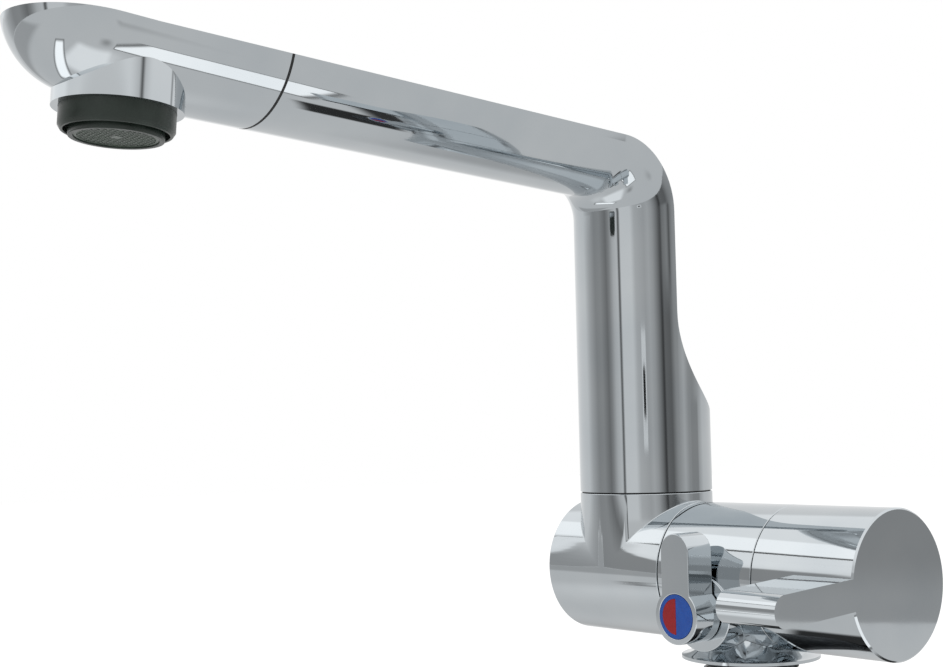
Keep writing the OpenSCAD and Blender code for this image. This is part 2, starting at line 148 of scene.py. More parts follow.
def smooth_edge(
    tree: bpy.types.NodeTree, value: bpy.types.NodeSocket, clear_at: float, full_at: float
) -> bpy.types.NodeSocket:
    """Rise smoothly from 0 to 1 between two values.

    Args:
        tree: The tree that it goes in.
        value: What is measured.
        clear_at: The value that gives 0.
        full_at: The value that gives 1.

    Returns:
        The smooth step.
    """
    feeds = {"Value": value, "From Min": clear_at, "From Max": full_at}
    step = add_node(tree, "ShaderNodeMapRange", feeds, interpolation_type="SMOOTHSTEP")
    return step.outputs["Result"]


def blank_material(name: str) -> bpy.types.Material:
    """Make a material whose node tree is empty."""
    made = bpy.data.materials.new(name)
    made.use_nodes = True
    made.node_tree.nodes.clear()
    return made


def add_object(
    bm: bmesh.types.BMesh, name: str, material: bpy.types.Material
) -> bpy.types.Object:
    """Turn a finished bmesh into an object of the scene.

    Args:
        bm: The shape. It is freed.
        name: The name of the object and of its mesh.
        material: What it is made of.

    Returns:
        The object.
    """
    mesh = bpy.data.meshes.new(name)
    bm.to_mesh(mesh)
    bm.free()
    mesh.materials.append(material)
    made = bpy.data.objects.new(name, mesh)
    bpy.context.scene.collection.objects.link(made)
    return made


def verts_in(geom: Sequence[object]) -> list[bmesh.types.BMVert]:
    """Pick the vertices out of what a bmesh operator gives back."""
    return [part for part in geom if isinstance(part, bmesh.types.BMVert)]


# ----------------------------------------------------------------------------------------- finishes


@dataclass(frozen=True)
class Finish:
    """A finish: its name, the record's slot that it belongs to, and the nodes that paint it."""

    name: str
    slot: str
    THIN: ClassVar[float] = 0.3  # a cloudy pattern lies mostly between THIN and DENSE
    DENSE: ClassVar[float] = 0.7

    def material(self) -> bpy.types.Material:
        """Make the material, or give back the one that is there.

        Returns:
            The material with its nodes.
        """
        found = bpy.data.materials.get(self.name)
        if found:
            return found
        made = blank_material(self.name)
        tree = made.node_tree
        shader = add_node(tree, "ShaderNodeBsdfPrincipled")
        add_node(tree, "ShaderNodeOutputMaterial", {"Surface": shader.outputs["BSDF"]})
        self.paint(tree, shader)
        return made

    def paint(self, tree: bpy.types.NodeTree, shader: bpy.types.Node) -> None:
        """Add the nodes of this finish to a fresh tree."""
        raise NotImplementedError

    @staticmethod
    def mottle(
        tree: bpy.types.NodeTree,
        size_mm: float,
        detail: float = 3.0,
        where: Optional[bpy.types.NodeSocket] = None,
    ) -> bpy.types.NodeSocket:
        """Add a soft cloudy pattern.

        Args:
            tree: The tree that it goes in.
            size_mm: Distance between its patches.
            detail: How fine its smallest features are.
            where: The place at which it is read. Left out, it is the piece's own coordinates.

        Returns:
            The pattern, from 0 to 1.
        """
        if where is None:
            where = add_node(tree, "ShaderNodeTexCoord").outputs["Object"]
        feeds = {"Vector": where, "Scale": 1.0 / (size_mm * MM), "Detail": detail}
        return add_node(tree, "ShaderNodeTexNoise", feeds).outputs["Fac"]

    def tint(
        self,
        tree: bpy.types.NodeTree,
        shader: bpy.types.Node,
        pattern: bpy.types.NodeSocket,
        thin: str,
        dense: str,
    ) -> None:
        """Blend two colours by a cloudy pattern.

        Args:
            tree: The tree that the nodes go in.
            shader: The shader that takes the colour.
            pattern: The pattern, from 0 to 1.
            thin: Hex colour of its thin patches.
            dense: Hex colour of its dense patches.
        """
        ramp = add_node(tree, "ShaderNodeValToRGB", {"Fac": pattern})
        ends = zip(ramp.color_ramp.elements, (self.THIN, self.DENSE), (thin, dense))
        for stop, position, colour in ends:
            stop.position = position
            stop.color = linear(colour)
        tree.links.new(ramp.outputs["Color"], shader.inputs["Base Color"])

    def roughen(
        self,
        tree: bpy.types.NodeTree,
        shader: bpy.types.Node,
        pattern: bpy.types.NodeSocket,
        thin: float,
        dense: float,
    ) -> None:
        """Let the roughness follow a cloudy pattern.

        Args:
            tree: The tree that the nodes go in.
            shader: The shader that takes the roughness.
            pattern: The pattern, from 0 to 1.
            thin: Roughness of its thin patches.
            dense: Roughness of its dense patches.
        """
        feeds = {"Value": pattern, "From Min": self.THIN, "From Max": self.DENSE}
        spread = add_node(tree, "ShaderNodeMapRange", {**feeds, "To Min": thin, "To Max": dense})
        tree.links.new(spread.outputs["Result"], shader.inputs["Roughness"])

    @staticmethod
    def emboss(
        tree: bpy.types.NodeTree,
        shader: bpy.types.Node,
        pattern: bpy.types.NodeSocket,
        height_mm: float,
        strength: float,
    ) -> None:
        """Let a pattern raise the surface.

        Args:
            tree: The tree that the nodes go in.
            shader: The shader that takes the relief.
            pattern: The pattern, from 0 to 1.
            height_mm: How far a pattern of 1 stands over one of 0.
            strength: How much of that relief is seen, from 0 to 1.
        """
        feeds = {"Height": pattern, "Strength": strength, "Distance": height_mm * MM}
        bump = add_node(tree, "ShaderNodeBump", feeds)
        tree.links.new(bump.outputs["Normal"], shader.inputs["Normal"])


@dataclass(frozen=True)
class PolishedChrome(Finish):
    """Bright chrome plate on a machine-polished brass casting.

    The eye gets a cool grey mirror. The polishing wheel leaves very long, low waves, so that the
    edges of what a flat face reflects run slightly crooked, and handling leaves faint dull patches.
    """

    clean: str = "#c3c8cb"
    smudged: str = "#bbc1c5"
    rough: tuple[float, float] = (0.025, 0.05)
    smudge_mm: float = 24.0
    wave_mm: float = 16.0
    wave_height_mm: float = 0.009
    wave_detail: float = 1.0

    def paint(self, tree: bpy.types.NodeTree, shader: bpy.types.Node) -> None:
        """Add the nodes of polished chrome."""
        smudge = self.mottle(tree, self.smudge_mm)
        self.tint(tree, shader, smudge, self.clean, self.smudged)
        self.roughen(tree, shader, smudge, *self.rough)
        wave = self.mottle(tree, self.wave_mm, self.wave_detail)
        self.emboss(tree, shader, wave, self.wave_height_mm, 1.0)
        shader.inputs["Metallic"].default_value = 1.0


@dataclass(frozen=True)
class TurnedMetal(Finish):
    """Bare metal as it leaves the lathe, such as brass or stainless steel.

    The eye gets a warm or grey sheen broken by fine rings round the turning axis. The real feed
    marks are 0.2 mm apart; they are drawn coarser, so that they show.
    """

    bright: str = "#c8a765"
    dull: str = "#a98a4c"
    axis: Axis = Axis.Z
    rough: float = 0.28
    smoother: float = 0.06
    rougher: float = 0.1
    cloud_mm: float = 6.0
    ring_mm: float = 0.7
    ring_height_mm: float = 0.02
    ring_detail: float = 2.0
    ring_strength: float = 0.6

    def paint(self, tree: bpy.types.NodeTree, shader: bpy.types.Node) -> None:
        """Add the nodes of turned metal."""
        where = add_node(tree, "ShaderNodeTexCoord").outputs["Object"]
        feeds = {0: where, 1: self.axis.value}
        along = add_node(tree, "ShaderNodeVectorMath", feeds, operation="DOT_PRODUCT")
        line = add_node(tree, "ShaderNodeCombineXYZ", {"X": along.outputs["Value"]})
        rings = self.mottle(tree, self.ring_mm, self.ring_detail, line.outputs["Vector"])
        self.tint(tree, shader, self.mottle(tree, self.cloud_mm), self.bright, self.dull)
        self.roughen(tree, shader, rings, self.rough - self.smoother, self.rough + self.rougher)
        self.emboss(tree, shader, rings, self.ring_height_mm, self.ring_strength)
        shader.inputs["Metallic"].default_value = 1.0


@dataclass(frozen=True)
class MouldedPolymer(Finish):
    """Injection-moulded plastic or rubber.

    The eye gets the fine, even grain of the mould and a slight cloudiness of the colour. Acetal
    and ABS are satin to glossy, rubber is dull.
    """

    colour: str = "#16181a"
    cloud: str = "#202326"
    rough: float = 0.4
    smoother: float = 0.05
    rougher: float = 0.07
    cloud_mm: float = 5.0
    grain_mm: float = 0.35
    grain_height_mm: float = 0.012
    grain_detail: float = 2.0
    grain_strength: float = 0.5
    ior: float = 1.48

    def paint(self, tree: bpy.types.NodeTree, shader: bpy.types.Node) -> None:
        """Add the nodes of moulded plastic."""
        cloud = self.mottle(tree, self.cloud_mm)
        self.tint(tree, shader, cloud, self.colour, self.cloud)
        self.roughen(tree, shader, cloud, self.rough - self.smoother, self.rough + self.rougher)
        grain = self.mottle(tree, self.grain_mm, self.grain_detail)
        self.emboss(tree, shader, grain, self.grain_height_mm, self.grain_strength)
        shader.inputs["IOR"].default_value = self.ior


@dataclass(frozen=True)
class StovedEnamel(Finish):
    """Coloured enamel filled into a disc and stoved.

    The eye gets a deep, even colour under a clear gloss, with a faint ripple like orange peel.
    """

    colour: str = "#1c57b4"
    pooled: str = "#164eaa"
    rough: tuple[float, float] = (0.3, 0.38)
    pool_mm: float = 2.6
    ripple_mm: float = 1.1
    ripple_height_mm: float = 0.01
    ripple_detail: float = 1.0
    ripple_strength: float = 0.5
    ior: float = 1.38

    def paint(self, tree: bpy.types.NodeTree, shader: bpy.types.Node) -> None:
        """Add the nodes of enamel."""
        pool = self.mottle(tree, self.pool_mm)
        self.tint(tree, shader, pool, self.colour, self.pooled)
        self.roughen(tree, shader, pool, *self.rough)
        ripple = self.mottle(tree, self.ripple_mm, self.ripple_detail)
        self.emboss(tree, shader, ripple, self.ripple_height_mm, self.ripple_strength)
        shader.inputs["IOR"].default_value = self.ior


CHROME = PolishedChrome("polished_chrome_plate", "chrome")
BRASS_UPRIGHT = TurnedMetal("turned_brass_upright", "brass")
BRASS_CROSSWISE = TurnedMetal("turned_brass_crosswise", "brass", axis=Axis.X)
BRASS_FORWARD = TurnedMetal("turned_brass_forward", "brass", axis=Axis.Y)
# Painted shade: the shank and inlet tails are bare steel, tinted far darker than bare steel so that
# they stand in for the shade they hang in under the body.
SHADED_STEEL_UPRIGHT = TurnedMetal(
    "steel_darkened_as_painted_shade", "steel", bright="#4e5052", dull="#3c3e40", rough=0.3, ring_mm=0.5
)
STEEL = TurnedMetal(
    "turned_stainless_steel", "steel",
    bright="#b4b6b8", dull="#9a9da0", axis=Axis.Y, rough=0.24, ring_mm=0.4,
)
RUBBER = MouldedPolymer(
    "moulded_epdm_rubber", "rubber",
    colour="#191a1b", cloud="#232425", rough=0.7, grain_mm=0.3, ior=1.5,
)
BLACK_ACETAL = MouldedPolymer(
    "black_acetal", "black_plastic", colour="#0d0e0f", cloud="#141618", rough=0.45
)
WHITE_ACETAL = MouldedPolymer(
    "white_acetal", "white_plastic", colour="#e6e4dc", cloud="#dcdad1", rough=0.38
)
DARK_ABS = MouldedPolymer(
    "dark_green_black_abs", "dark_plastic",
    colour="#1a261f", cloud="#233029", rough=0.34, grain_height_mm=0.004,
)
MESH_ACETAL = MouldedPolymer(
    "moulded_mesh_acetal", "mesh_plastic", colour="#435046", cloud="#515e53", rough=0.35
)
BLUE_ENAMEL = StovedEnamel("blue_stoved_enamel", "blue_enamel")
RED_ENAMEL = StovedEnamel(
    "red_stoved_enamel", "red_enamel", colour="#a80f16", pooled="#9a0a11"
)


# ----------------------------------------------------------------------------------- sub-assemblies


def settle(bm: bmesh.types.BMesh, name: str, finish: Finish, body: str) -> bpy.types.Object:
    """Turn a finished bmesh into a piece that rides on a body.

    Args:
        bm: The shape, in metres, in its place. It is freed.
        name: The piece's name.
        finish: What it is made of.
        body: The CAD body that it moves with.

    Returns:
        The piece.
    """
    for face in bm.faces:
        face.smooth = True
    for edge in bm.edges:
        edge.smooth = edge.calc_face_angle(0.0) < math.radians(CREASE_DEG)
    piece = add_object(bm, name, finish.material())
    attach(piece, body)
    log.info("%s: %d faces, %s, on %s", name, len(piece.data.polygons), finish.name, body)
    return piece


def skin_of(node: str) -> bmesh.types.BMesh:
    """Copy a CAD node's surface and merge it into one closed mesh with whole flat faces.

    Args:
        node: The CAD node's name.

    Returns:
        The merged copy.
    """
    bm = bmesh.new()
    bm.from_mesh(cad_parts[node].data)
    bmesh.ops.remove_doubles(bm, verts=bm.verts, dist=MERGE)
    bmesh.ops.dissolve_degenerate(bm, edges=bm.edges, dist=MERGE)
    bmesh.ops.dissolve_limit(
        bm, angle_limit=math.radians(FLAT_DEG), verts=bm.verts, edges=bm.edges,
        use_dissolve_boundaries=False,
    )
    return bm


@dataclass
class SubAssembly:
    """A group of pieces that move with one CAD body."""

    body: str

    def dress(self, finish: Finish, *nodes: str) -> None:
        """Give CAD nodes a finish.

        Args:
            finish: What they are made of.
            nodes: Their names.
        """
        for name in nodes:
            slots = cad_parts[name].data.materials
            slots.clear()
            slots.append(finish.material())
            log.info("%s: CAD solid, %s, on %s", name, finish.name, self.body)

    def polish(
        self, node: str, name: str, edge_mm: float, finish: Finish = CHROME
    ) -> bpy.types.Object:
        """Show a CAD node by a merged copy whose sharp edges are rounded by the polishing wheel.

        Args:
            node: The CAD node that the copy stands for.
            name: The copy's name.
            edge_mm: Width of the rounded edges.
            finish: What it is made of.

        Returns:
            The copy.
        """
        piece = settle(skin_of(node), name, finish, self.body)
        rounding = piece.modifiers.new("polished_edges", "BEVEL")
        rounding.width = edge_mm * MM
        rounding.segments = EDGE_SEGMENTS
        rounding.limit_method = "ANGLE"
        rounding.angle_limit = math.radians(CREASE_DEG)
        rounding.harden_normals = True
        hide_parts(node)
        return piece

    def build(self) -> None:
        """Make and dress every piece of the group."""
        raise NotImplementedError


@dataclass
class SocketScrew:
    """A grub screw with a hexagon socket, turned and broached."""

    radius_mm: float
    length_mm: float
    across_mm: float
    depth_mm: float = 1.3
    segments: int = 30

    def shape(self, place: Matrix) -> bmesh.types.BMesh:
        """Model the screw.

        Args:
            place: Puts its socket's rim at the origin's image and its shank along -Z.

        Returns:
            The screw.
        """
        bm = bmesh.new()
        corner = self.across_mm / math.sqrt(3) * MM
        circle = bmesh.ops.create_circle
        rim = circle(bm, segments=self.segments, radius=self.radius_mm * MM)["verts"]
        hexagon = circle(bm, segments=6, radius=corner)["verts"]
        outer = [e for e in bm.edges if e.verts[0] in rim]
        inner = [e for e in bm.edges if e.verts[0] in hexagon]
        bmesh.ops.bridge_loops(bm, edges=outer + inner)
        for loop, depth in ((outer, self.length_mm), (inner, self.depth_mm)):
            grown = bmesh.ops.extrude_edge_only(bm, edges=loop)["geom"]
            fresh = verts_in(grown)
            bmesh.ops.translate(bm, verts=fresh, vec=(0.0, 0.0, -depth * MM))
            edges = [part for part in grown if isinstance(part, bmesh.types.BMEdge)]
            ends = [edge for edge in edges if all(v in fresh for v in edge.verts)]
            bmesh.ops.contextual_create(bm, geom=ends)
        bmesh.ops.recalc_face_normals(bm, faces=bm.faces)
        bmesh.ops.transform(bm, matrix=place, verts=bm.verts)
        return bm


@dataclass
class CentreBody(SubAssembly):
    """Fixed centre body with its collar, standing on the pedestal."""

    edge_mm: float = 0.3
    flange_edge_mm: float = 0.25

    def build(self) -> None:
        """Polish the body and pedestal and dress what is let into them."""
        self.polish("body_shell", "polished_centre_body", self.edge_mm)
        self.polish("pedestal", "polished_pedestal", self.flange_edge_mm)
        self.dress(RUBBER, "base_gasket")
        self.dress(WHITE_ACETAL, "mix_cartridge", "flow_cartridge")
        self.dress(BLACK_ACETAL, "lever_washer", "fold_washer", "microswitch")
        self.dress(RED_ENAMEL, "switch_plunger")
        self.dress(BRASS_CROSSWISE, "fold_axle", "axle_nut")
        self.dress(RUBBER, "fold_seal_left", "fold_seal_right")


@dataclass
class WorktopFixing(SubAssembly):
    """Threaded shank and inlet tails below the worktop.

    The thread's ridge stands on a core of root_r_mm, and its foot is sunk into the core a little.
    Its crest is flat over a share of the pitch.
    """

    thread_r_mm: float = 14.0
    root_r_mm: float = 13.1
    sink_mm: float = 0.2
    pitch_mm: float = 1.5
    crest_share: float = 0.15
    runout_mm: float = 1.2
    steps_a_turn: int = 48

    def thread(self) -> bpy.types.Object:
        """Cut a real thread on the shank's outside.

        Returns:
            The threaded shank.
        """
        low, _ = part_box("fixing_shank")
        bm = skin_of("fixing_shank")
        core = self.root_r_mm * MM
        for vert in bm.verts:
            reach = Vector((vert.co.x, vert.co.y)).length
            if reach > core:
                vert.co.x *= core / reach
                vert.co.y *= core / reach
        top, bottom = -self.runout_mm * MM, low.z + self.runout_mm * MM
        turns = math.floor((top - bottom) / (self.pitch_mm * MM))
        foot, crest = core - self.sink_mm * MM, self.thread_r_mm * MM
        half = self.pitch_mm * MM / 2
        profile = (
            (foot, 0.0),
            (crest, half * (1 - self.crest_share)),
            (crest, half * (1 + self.crest_share)),
            (foot, 2 * half),
        )
        ridge = [bm.verts.new((out, 0.0, bottom + up)) for out, up in profile]
        face = bm.faces.new(ridge)
        steps = self.steps_a_turn * turns
        bmesh.ops.spin(
            bm, geom=[face, *face.edges, *ridge], cent=(0.0, 0.0, 0.0), axis=Axis.Z.value,
            dvec=(0.0, 0.0, turns * self.pitch_mm * MM / steps), angle=2 * math.pi * turns,
            steps=steps, use_merge=False, use_normal_flip=False, use_duplicate=False,
        )
        bmesh.ops.recalc_face_normals(bm, faces=bm.faces)
        piece = settle(bm, "threaded_fixing_shank", SHADED_STEEL_UPRIGHT, self.body)
        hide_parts("fixing_shank")
        return piece

    def build(self) -> None:
        """Cut the thread and dress the tails."""
        self.thread()
        self.dress(SHADED_STEEL_UPRIGHT, "inlet_hot", "inlet_cold")


@dataclass
class FoldingKnee(SubAssembly):
    """Knee that folds down with the column, with its cap and the sleeve that the spout turns on."""

    edge_mm: float = 0.3

    def build(self) -> None:
        """Polish the knee and its cap and dress the swivel's inner pieces."""
        self.polish("knee_body", "polished_knee", self.edge_mm)
        self.polish("knee_cap", "polished_knee_cap", self.edge_mm)
        self.dress(BRASS_UPRIGHT, "swivel_sleeve")
        self.dress(RUBBER, "swivel_seal")
        self.dress(BLACK_ACETAL, "swivel_washer")


@dataclass
class Spout(SubAssembly):
    """Column, elbow and spout arm in one, with the head joined on over a dark gasket."""

    edge_mm: float = 0.45
    head_edge_mm: float = 0.35
    gasket_mm: float = 0.76
    grub: SocketScrew = field(default_factory=lambda: SocketScrew(1.6, 9.8, 1.5))

    def gasket(self) -> bpy.types.Object:
        """Fill the seam between arm and head with a thin ring, grown from the arm's end face.

        Returns:
            The gasket.
        """
        ahead = bearing(math.radians(-90), math.radians(RISE_DEG))
        bm = skin_of("spout_arm")
        seam = max(vert.co.dot(ahead) for vert in bm.verts)
        behind = [vert for vert in bm.verts if vert.co.dot(ahead) < seam - 2 * MERGE]
        bmesh.ops.delete(bm, geom=behind, context="VERTS")
        grown = bmesh.ops.extrude_face_region(bm, geom=bm.faces[:], use_keep_orig=True)["geom"]
        bmesh.ops.translate(bm, verts=verts_in(grown), vec=ahead * self.gasket_mm * MM)
        bmesh.ops.recalc_face_normals(bm, faces=bm.faces)
        return settle(bm, "head_seam_gasket", RUBBER, self.body)

    def build(self) -> None:
        """Polish arm and head, fill their seam and model the screw at the back."""
        self.polish("spout_arm", "polished_spout_arm", self.edge_mm)
        self.polish("spout_head", "polished_spout_head", self.head_edge_mm)
        self.dress(BLACK_ACETAL, "head_joint")
        self.gasket()
        low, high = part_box("spout_grub")
        mouth = Vector(((low.x + high.x) / 2, high.y, (low.z + high.z) / 2))
        place = Matrix.Translation(mouth) @ Matrix.Rotation(math.radians(-90), 4, "X")
        screw = settle(self.grub.shape(place), "spout_socket_screw", STEEL, self.body)
        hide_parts("spout_grub")


@dataclass
class Aerator(SubAssembly):
    """Dark plastic aerator under the head, with a ring and a fine square mesh.

    The first five lengths lead from the body's axis over the elbow to the mesh in the outlet. The
    bars of the second direction lie weave_mm over those of the first.
    """

    column_x_mm: float = 41.25
    elbow_y_mm: float = -27.0
    elbow_z_mm: float = 135.8
    outlet_at_mm: float = 157.6
    mesh_low_mm: float = -3.2
    mesh_r_mm: float = 10.45
    rim_mm: float = 0.7
    rim_tall_mm: float = 0.95
    bar_mm: float = 0.48
    bar_at_mm: float = 0.3
    weave_mm: float = 0.08
    pitch_mm: float = 1.3
    boss_r_mm: float = 1.3
    boss_tall_mm: float = 0.8
    boss_at_mm: float = 0.45
    foot_edge_mm: float = 0.25
    rim_segments: int = 72
    boss_segments: int = 32

    def place(self) -> Matrix:
        """Stand at the mesh's lower side in the outlet, with Z up along the outlet.

        Returns:
            The placing matrix.
        """
        elbow = Vector((-self.column_x_mm, self.elbow_y_mm, self.elbow_z_mm)) * MM
        tilt = Matrix.Rotation(math.radians(-RISE_DEG), 4, "X")
        along = Matrix.Translation(Vector((0.0, -self.outlet_at_mm, self.mesh_low_mm)) * MM)
        return Matrix.Translation(elbow) @ tilt @ along

    def mesh(self) -> bpy.types.Object:
        """Model the moulded mesh: crossed square bars in a rim, with a small boss in the middle.

        Returns:
            The mesh disc.
        """
        bm = bmesh.new()
        reach = self.mesh_r_mm - self.rim_mm / 2
        count = int(reach / self.pitch_mm)
        for layer, turn_deg in enumerate((0.0, 90.0)):
            turn = Matrix.Rotation(math.radians(turn_deg), 4, "Z")
            for k in range(-count, count + 1):
                off = k * self.pitch_mm
                length = 2 * math.sqrt(reach**2 - off**2)
                size = Matrix.Diagonal((self.bar_mm, length, self.bar_mm, 1.0))
                shift = Matrix.Translation((off, 0.0, self.bar_at_mm + self.weave_mm * layer))
                bmesh.ops.create_cube(bm, size=1.0, matrix=turn @ shift @ size)
        ends = []
        for radius in (self.mesh_r_mm, self.mesh_r_mm - self.rim_mm):
            circle = bmesh.ops.create_circle(bm, segments=self.rim_segments, radius=radius)
            ends.extend(circle["verts"])
        loops = [e for e in bm.edges if e.is_wire and e.verts[0] in ends]
        flat = bmesh.ops.bridge_loops(bm, edges=loops)["faces"]
        grown = bmesh.ops.extrude_face_region(bm, geom=flat, use_keep_orig=True)["geom"]
        bmesh.ops.translate(bm, verts=verts_in(grown), vec=(0.0, 0.0, self.rim_tall_mm))
        bmesh.ops.create_cone(
            bm, cap_ends=True, segments=self.boss_segments, radius1=self.boss_r_mm,
            radius2=self.boss_r_mm, depth=self.boss_tall_mm,
            matrix=Matrix.Translation((0.0, 0.0, self.boss_at_mm)),
        )
        bmesh.ops.recalc_face_normals(bm, faces=bm.faces)
        bmesh.ops.transform(bm, matrix=self.place() @ Matrix.Scale(MM, 4), verts=bm.verts)
        piece = settle(bm, "aerator_grid", MESH_ACETAL, self.body)
        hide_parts("aerator_mesh")
        return piece

    def build(self) -> None:
        """Round the plastic pieces' edges and put the mesh in."""
        self.polish("aerator_housing", "moulded_aerator_housing", self.foot_edge_mm, DARK_ABS)
        self.polish("aerator_ring", "moulded_aerator_ring", self.foot_edge_mm, DARK_ABS)
        self.dress(RUBBER, "aerator_washer")
        self.mesh()


@dataclass
class LeverKnob(SubAssembly):
    """Knob with a flat paddle, which lifts to open the water."""

    edge_mm: float = 0.45
    grub: SocketScrew = field(default_factory=lambda: SocketScrew(2.0, 15.0, 2.0))

    def build(self) -> None:
        """Polish the knob, dress its stem and model the screw that grips it."""
        self.polish("lever_knob", "polished_lever_knob", self.edge_mm)
        self.dress(BRASS_CROSSWISE, "lever_stem")
        low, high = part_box("lever_grub")
        mouth = Vector(((low.x + high.x) / 2, (low.y + high.y) / 2, low.z))
        place = Matrix.Translation(mouth) @ Matrix.Rotation(math.pi, 4, "X")
        screw = settle(self.grub.shape(place), "lever_socket_screw", STEEL, self.body)
        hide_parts("lever_grub")


@dataclass
class Selector(SubAssembly):
    """Keyhole-shaped hot and cold selector with its two-coloured disc."""

    edge_mm: float = 0.45
    disc_edge_mm: float = 0.12

    def build(self) -> None:
        """Polish the lever, round the disc and dress the screw and stem."""
        self.polish("selector_lever", "polished_selector_lever", self.edge_mm)
        self.polish("selector_disc", "enamelled_disc", self.disc_edge_mm, BLUE_ENAMEL)
        self.polish("selector_red", "enamelled_half_disc", self.disc_edge_mm / 2, RED_ENAMEL)
        self.dress(STEEL, "selector_screw")
        self.dress(BRASS_FORWARD, "selector_stem")


# ------------------------------------------------------------------------------------------- studio


@dataclass
class Card:
    """A reflector or flag of the studio, with its name and its brightness.

    Only polished metal sees it, so it neither lights nor hides anything.
    """

    name: str
    tone: float

    def paint(
        self, tree: bpy.types.NodeTree, where: Sequence[bpy.types.NodeSocket]
    ) -> tuple[Feed, bpy.types.NodeSocket]:
        """Add the nodes of the card's colour and of its outline.

        Args:
            tree: The tree that they go in.
            where: X, Y and Z on the card.

        Returns:
            The colour, and a mask that is 1 on the card and 0 past its edges.
        """
        raise NotImplementedError

    def build(self) -> bpy.types.Object:
        """Put the card up."""
        raise NotImplementedError

    def surface(self) -> bpy.types.Material:
        """Make the card's glow, which is clear where the mask is 0.

        Returns:
            The material.
        """
        made = blank_material(self.name)
        tree = made.node_tree
        spot = add_node(tree, "ShaderNodeTexCoord").outputs["Object"]
        where = add_node(tree, "ShaderNodeSeparateXYZ", {"Vector": spot}).outputs
        colour, mask = self.paint(tree, where)
        glow = add_node(tree, "ShaderNodeEmission", {"Color": colour, "Strength": self.tone})
        clear = add_node(tree, "ShaderNodeBsdfTransparent")
        feeds = {0: mask, 1: clear.outputs[0], 2: glow.outputs[0]}
        mix = add_node(tree, "ShaderNodeMixShader", feeds)
        add_node(tree, "ShaderNodeOutputMaterial", {"Surface": mix.outputs[0]})
        return made

    def hang(self, bm: bmesh.types.BMesh, place: Matrix) -> bpy.types.Object:
        """Put a finished sheet in its place, where only polished metal sees it.

        Args:
            bm: The sheet. It is freed.
            place: Where it goes.

        Returns:
            The card.
        """
        card = add_object(bm, self.name, self.surface())
        card.matrix_world = place
        card.visible_camera = card.visible_diffuse = False
        card.visible_shadow = card.visible_transmission = False
        return card


@dataclass
class FlatCard(Card):
    """A rectangular card of one tone. Its feather is the share of each side that fades out."""

    feather: tuple[float, float]

    def extent(self) -> tuple[float, float]:
        """Give the card's width and height, in metres."""
        raise NotImplementedError

    def place(self) -> Matrix:
        """Give the card's place, with its face along +Z."""
        raise NotImplementedError

    def paint(
        self, tree: bpy.types.NodeTree, where: Sequence[bpy.types.NodeSocket]
    ) -> tuple[Feed, bpy.types.NodeSocket]:
        """Give plain white, and fade out the edges.

        Args:
            tree: The tree that the nodes go in.
            where: X, Y and Z on the card, whose sides are 1 long.

        Returns:
            White, and a mask that is 0 past the edges.
        """
        masks = []
        for side, soft in zip(where, self.feather):
            away = maths(tree, "ABSOLUTE", side)
            masks.append(smooth_edge(tree, away, 0.5, 0.5 - soft))
        return WHITE, maths(tree, "MULTIPLY", *masks)

    def build(self) -> bpy.types.Object:
        """Put the card up, as a square of side 1 that is drawn out to its extent.

        Returns:
            The card.
        """
        bm = bmesh.new()
        bmesh.ops.create_grid(bm, x_segments=1, y_segments=1, size=0.5)
        return self.hang(bm, self.place() @ Matrix.Diagonal((*self.extent(), 1.0, 1.0)))


@dataclass
class Drape(FlatCard):
    """A card that hangs round the tap, facing it, given by the directions in degrees it fills."""

    azimuth: tuple[float, float]
    elevation: tuple[float, float]
    distance: float

    def extent(self) -> tuple[float, float]:
        """Take the size from the directions."""
        spans = [ends[1] - ends[0] for ends in (self.azimuth, self.elevation)]
        wide, tall = (2 * self.distance * math.tan(math.radians(span) / 2) for span in spans)
        return wide, tall

    def place(self) -> Matrix:
        """Face the tap from the middle of the directions."""
        azimuth, elevation = (math.radians(sum(e) / 2) for e in (self.azimuth, self.elevation))
        out = bearing(azimuth, elevation)
        across = Vector((-math.sin(azimuth), math.cos(azimuth), 0.0))
        turn = Matrix((across, out.cross(across), out)).transposed().to_4x4()
        return Matrix.Translation(TAP_CENTRE + out * self.distance) @ turn


@dataclass
class Sheet(FlatCard):
    """A card that lies level, a number of layers over its ground."""

    size: tuple[float, float]
    at: tuple[float, float] = (0.0, 0.0)
    layer: int = 0
    turn_deg: float = 0.0
    ground: float = MAT_Z

    def extent(self) -> tuple[float, float]:
        """Give the size as it is."""
        return self.size

    def place(self) -> Matrix:
        """Lie level at its place, turned about the upright."""
        spot = Matrix.Translation((*self.at, self.ground + self.layer * LAYER))
        return spot @ Matrix.Rotation(math.radians(self.turn_deg), 4, "Z")


